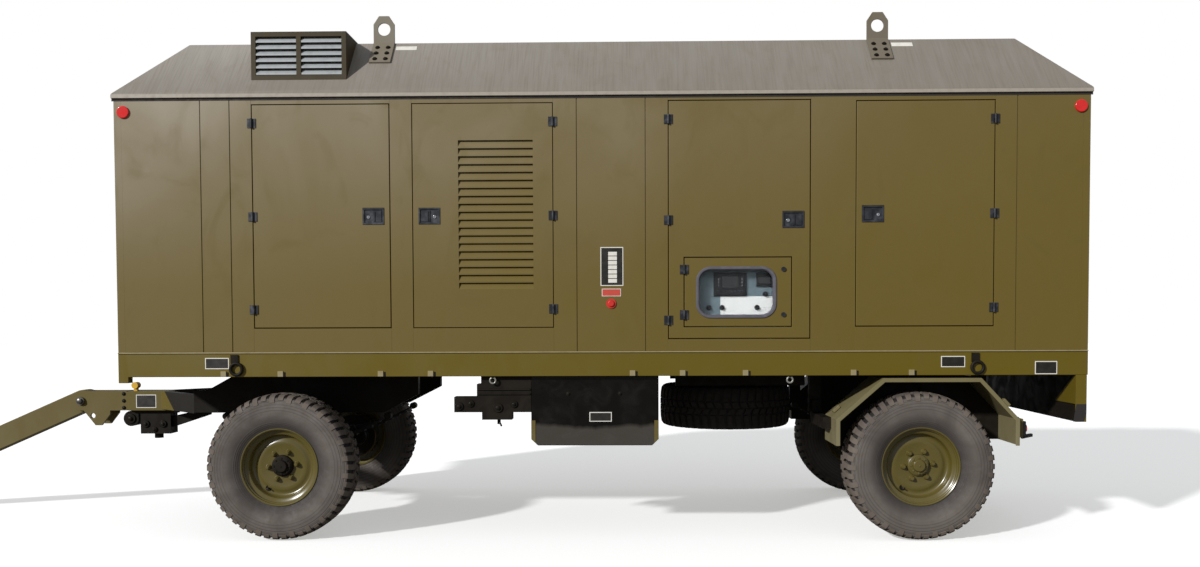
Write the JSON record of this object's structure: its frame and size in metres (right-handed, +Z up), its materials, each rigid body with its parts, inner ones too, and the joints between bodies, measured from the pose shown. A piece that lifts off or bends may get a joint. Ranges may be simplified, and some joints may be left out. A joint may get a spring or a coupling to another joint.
{
  "type": "mobile diesel generator",
  "caption": "Sound-insulated diesel generator housing with hinged doors and a hipped roof, on a drawbar trailer steered by a turntable.",
  "frame": {"origin": "on the ground, below the middle of the box round the whole machine with its drawbar", "axes": "+X to the rear, away from the drawbar, +Y to the plain side, +Z up"},
  "size_m": [9.6434, 2.55, 3.745],
  "materials": {
    "olive_paint": "satin olive paint on sheet steel",
    "roof_paint": "weathered satin olive paint",
    "black_paint": "satin black chassis paint",
    "tyre_rubber": "dusty tread rubber",
    "reflector_red": "ribbed red lens",
    "trim_black": "black nylon and powder-coated zinc",
    "window_pane": "clear pane in a rubber surround",
    "panel_grey": "light grey powder coat",
    "stop_red": "moulded",
    "bare_steel": "machined and oiled",
    "coupling_yellow": "gloss"
  },
  "bodies": {
    "housing_and_frame": {"frame_long_beams": "olive_paint", "frame_cross_beams": "olive_paint", "floor_deck": "black_paint", "near_wall_panels": "olive_paint", "door_sills_headers": "olive_paint", "far_wall": "olive_paint", "front_wall": "olive_paint", "rear_wall": "olive_paint", "roof": "roof_paint", "roof_louvre_boxes": "olive_paint", "lifting_eyes": "olive_paint", "side_reflectors": "reflector_red", "wall_hinges": "trim_black", "control_cabinet": "panel_grey", "panel_instruments": "trim_black", "emergency_stop": "stop_red", "fuel_tank": "olive_paint", "brake_valve_rail": "black_paint", "rear_axle": "black_paint", "rear_springs": "black_paint", "rear_hangers": "black_paint", "turntable_upper": "black_paint", "spare_tyre": "tyre_rubber", "spare_rim": "olive_paint", "spare_carrier": "black_paint", "rear_mudguards": "olive_paint", "mudguard_stays": "black_paint", "rear_brackets": "olive_paint", "rear_bumper": "olive_paint", "lashing_points": "black_paint"},
    "turntable": {"turntable_ring": "black_paint", "turntable_frame": "black_paint", "front_axle": "black_paint", "front_springs": "black_paint", "drawbar_frame": "olive_paint", "drawbar_head": "olive_paint", "brake_unit": "black_paint", "air_coupling": "coupling_yellow"},
    "drawbar": {"drawbar_shaft": "olive_paint", "towing_eye": "bare_steel"},
    "wheel_front_near": {"tyre_front_near": "tyre_rubber", "rim_front_near": "olive_paint"},
    "wheel_front_far": {"tyre_front_far": "tyre_rubber", "rim_front_far": "olive_paint"},
    "wheel_rear_near": {"tyre_rear_near": "tyre_rubber", "rim_rear_near": "olive_paint"},
    "wheel_rear_far": {"tyre_rear_far": "tyre_rubber", "rim_rear_far": "olive_paint"},
    "door_1": {"door_1": "olive_paint", "door_1_fittings": "trim_black"},
    "door_2": {"door_2": "olive_paint", "door_2_fittings": "trim_black"},
    "door_3": {"door_3": "olive_paint", "door_3_fittings": "trim_black"},
    "door_4": {"door_4": "olive_paint", "door_4_fittings": "trim_black"},
    "hatch": {"hatch": "olive_paint", "hatch_fittings": "trim_black", "hatch_window": "window_pane"}
  },
  "joints": [
    {"name": "turntable_steer", "type": "hinge", "parent": "housing_and_frame", "child": "turntable", "pos_m": [-0.81625, 0, 1.184], "axis": [0, 0, 1], "range_deg": [-40, 40]},
    {"name": "drawbar_lift", "type": "hinge", "parent": "turntable", "child": "drawbar", "pos_m": [-2.77625, 0, 0.908], "axis": [0, 1, 0], "range_deg": [0, 45]},
    {"name": "wheel_front_near_spin", "type": "hinge", "parent": "turntable", "child": "wheel_front_near", "pos_m": [-0.81625, -1.0825, 0.518], "axis": [0, 1, 0], "continuous": true},
    {"name": "wheel_front_far_spin", "type": "hinge", "parent": "turntable", "child": "wheel_front_far", "pos_m": [-0.81625, 1.0825, 0.518], "axis": [0, 1, 0], "continuous": true},
    {"name": "wheel_rear_near_spin", "type": "hinge", "parent": "housing_and_frame", "child": "wheel_rear_near", "pos_m": [3.67875, -1.0825, 0.518], "axis": [0, 1, 0], "continuous": true},
    {"name": "wheel_rear_far_spin", "type": "hinge", "parent": "housing_and_frame", "child": "wheel_rear_far", "pos_m": [3.67875, 1.0825, 0.518], "axis": [0, 1, 0], "continuous": true},
    {"name": "door_1_hinge", "type": "hinge", "parent": "housing_and_frame", "child": "door_1", "pos_m": [-0.96225, -1.257, 2.27], "axis": [0, 0, -1], "range_deg": [0, 90]},
    {"name": "door_2_hinge", "type": "hinge", "parent": "housing_and_frame", "child": "door_2", "pos_m": [1.12475, -1.257, 2.27], "axis": [0, 0, 1], "range_deg": [0, 90]},
    {"name": "door_3_hinge", "type": "hinge", "parent": "housing_and_frame", "child": "door_3", "pos_m": [1.92175, -1.257, 2.27], "axis": [0, 0, -1], "range_deg": [0, 90]},
    {"name": "door_4_hinge", "type": "hinge", "parent": "housing_and_frame", "child": "door_4", "pos_m": [4.15875, -1.257, 2.27], "axis": [0, 0, 1], "range_deg": [0, 90]},
    {"name": "hatch_hinge", "type": "hinge", "parent": "door_3", "child": "hatch", "pos_m": [2.03075, -1.257, 1.7365], "axis": [0, 0, -1], "range_deg": [0, 90]}
  ]
}
